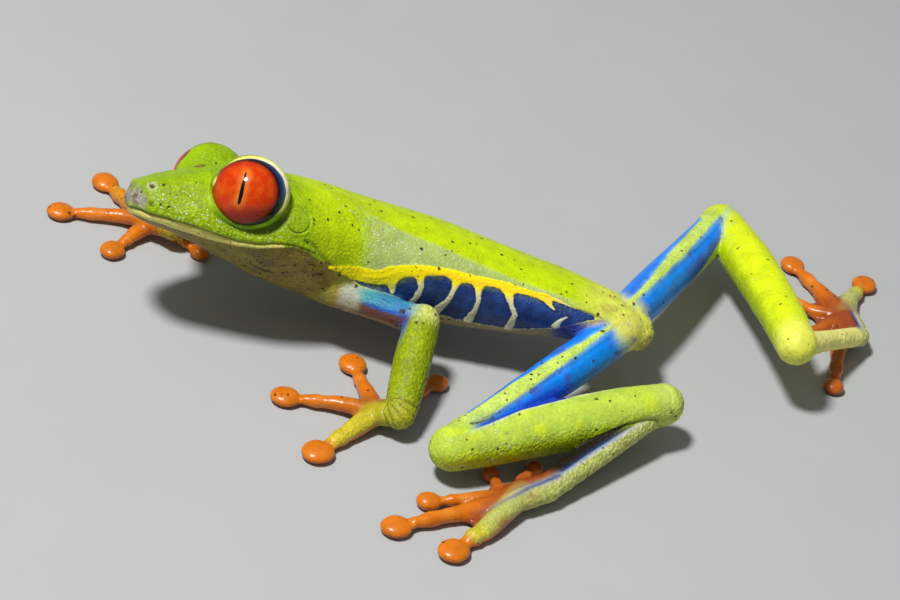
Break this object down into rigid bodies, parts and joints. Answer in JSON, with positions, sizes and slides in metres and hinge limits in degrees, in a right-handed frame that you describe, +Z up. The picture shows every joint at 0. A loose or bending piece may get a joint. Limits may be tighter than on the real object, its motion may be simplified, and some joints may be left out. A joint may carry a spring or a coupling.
{
  "type": "red-eyed tree frog",
  "caption": "Life-size still model of a red-eyed tree frog in mid-stride, low on its spread padded fingers and toes, for display.",
  "frame": {"origin": "on the floor, under the middle of the whole frog's bounding box", "axes": "+Z up; -X is the way the frog walks and its head points; -Y is the frog's left side"},
  "size_m": [0.085, 0.054, 0.0197],
  "materials": {
    "skin_green": "moist granular skin, lime green on the back, head, forearms and shanks",
    "skin_cream": "soft cream skin of the throat and belly",
    "skin_blue": "smooth deep blue skin of the flanks, thighs and upper arms, with yellow bars on the flanks",
    "skin_orange": "glossy orange skin of the hands and feet",
    "eye": "wet red iris with a narrow upright black pupil"
  },
  "bodies": {
    "root": {"head": "skin_green", "lower_jaw": "skin_cream", "eye_left": "eye", "eye_right": "eye", "eardrum_left": "skin_green", "eardrum_right": "skin_green", "trunk": "skin_green", "upper_arm_left": "skin_blue", "upper_arm_right": "skin_blue", "forearm_left": "skin_green", "forearm_right": "skin_green", "hand_left": "skin_orange", "hand_right": "skin_orange", "thigh_left": "skin_blue", "thigh_right": "skin_blue", "shank_left": "skin_green", "shank_right": "skin_green", "tarsus_left": "skin_green", "tarsus_right": "skin_green", "foot_left": "skin_orange", "foot_right": "skin_orange"}
  },
  "joints": []
}
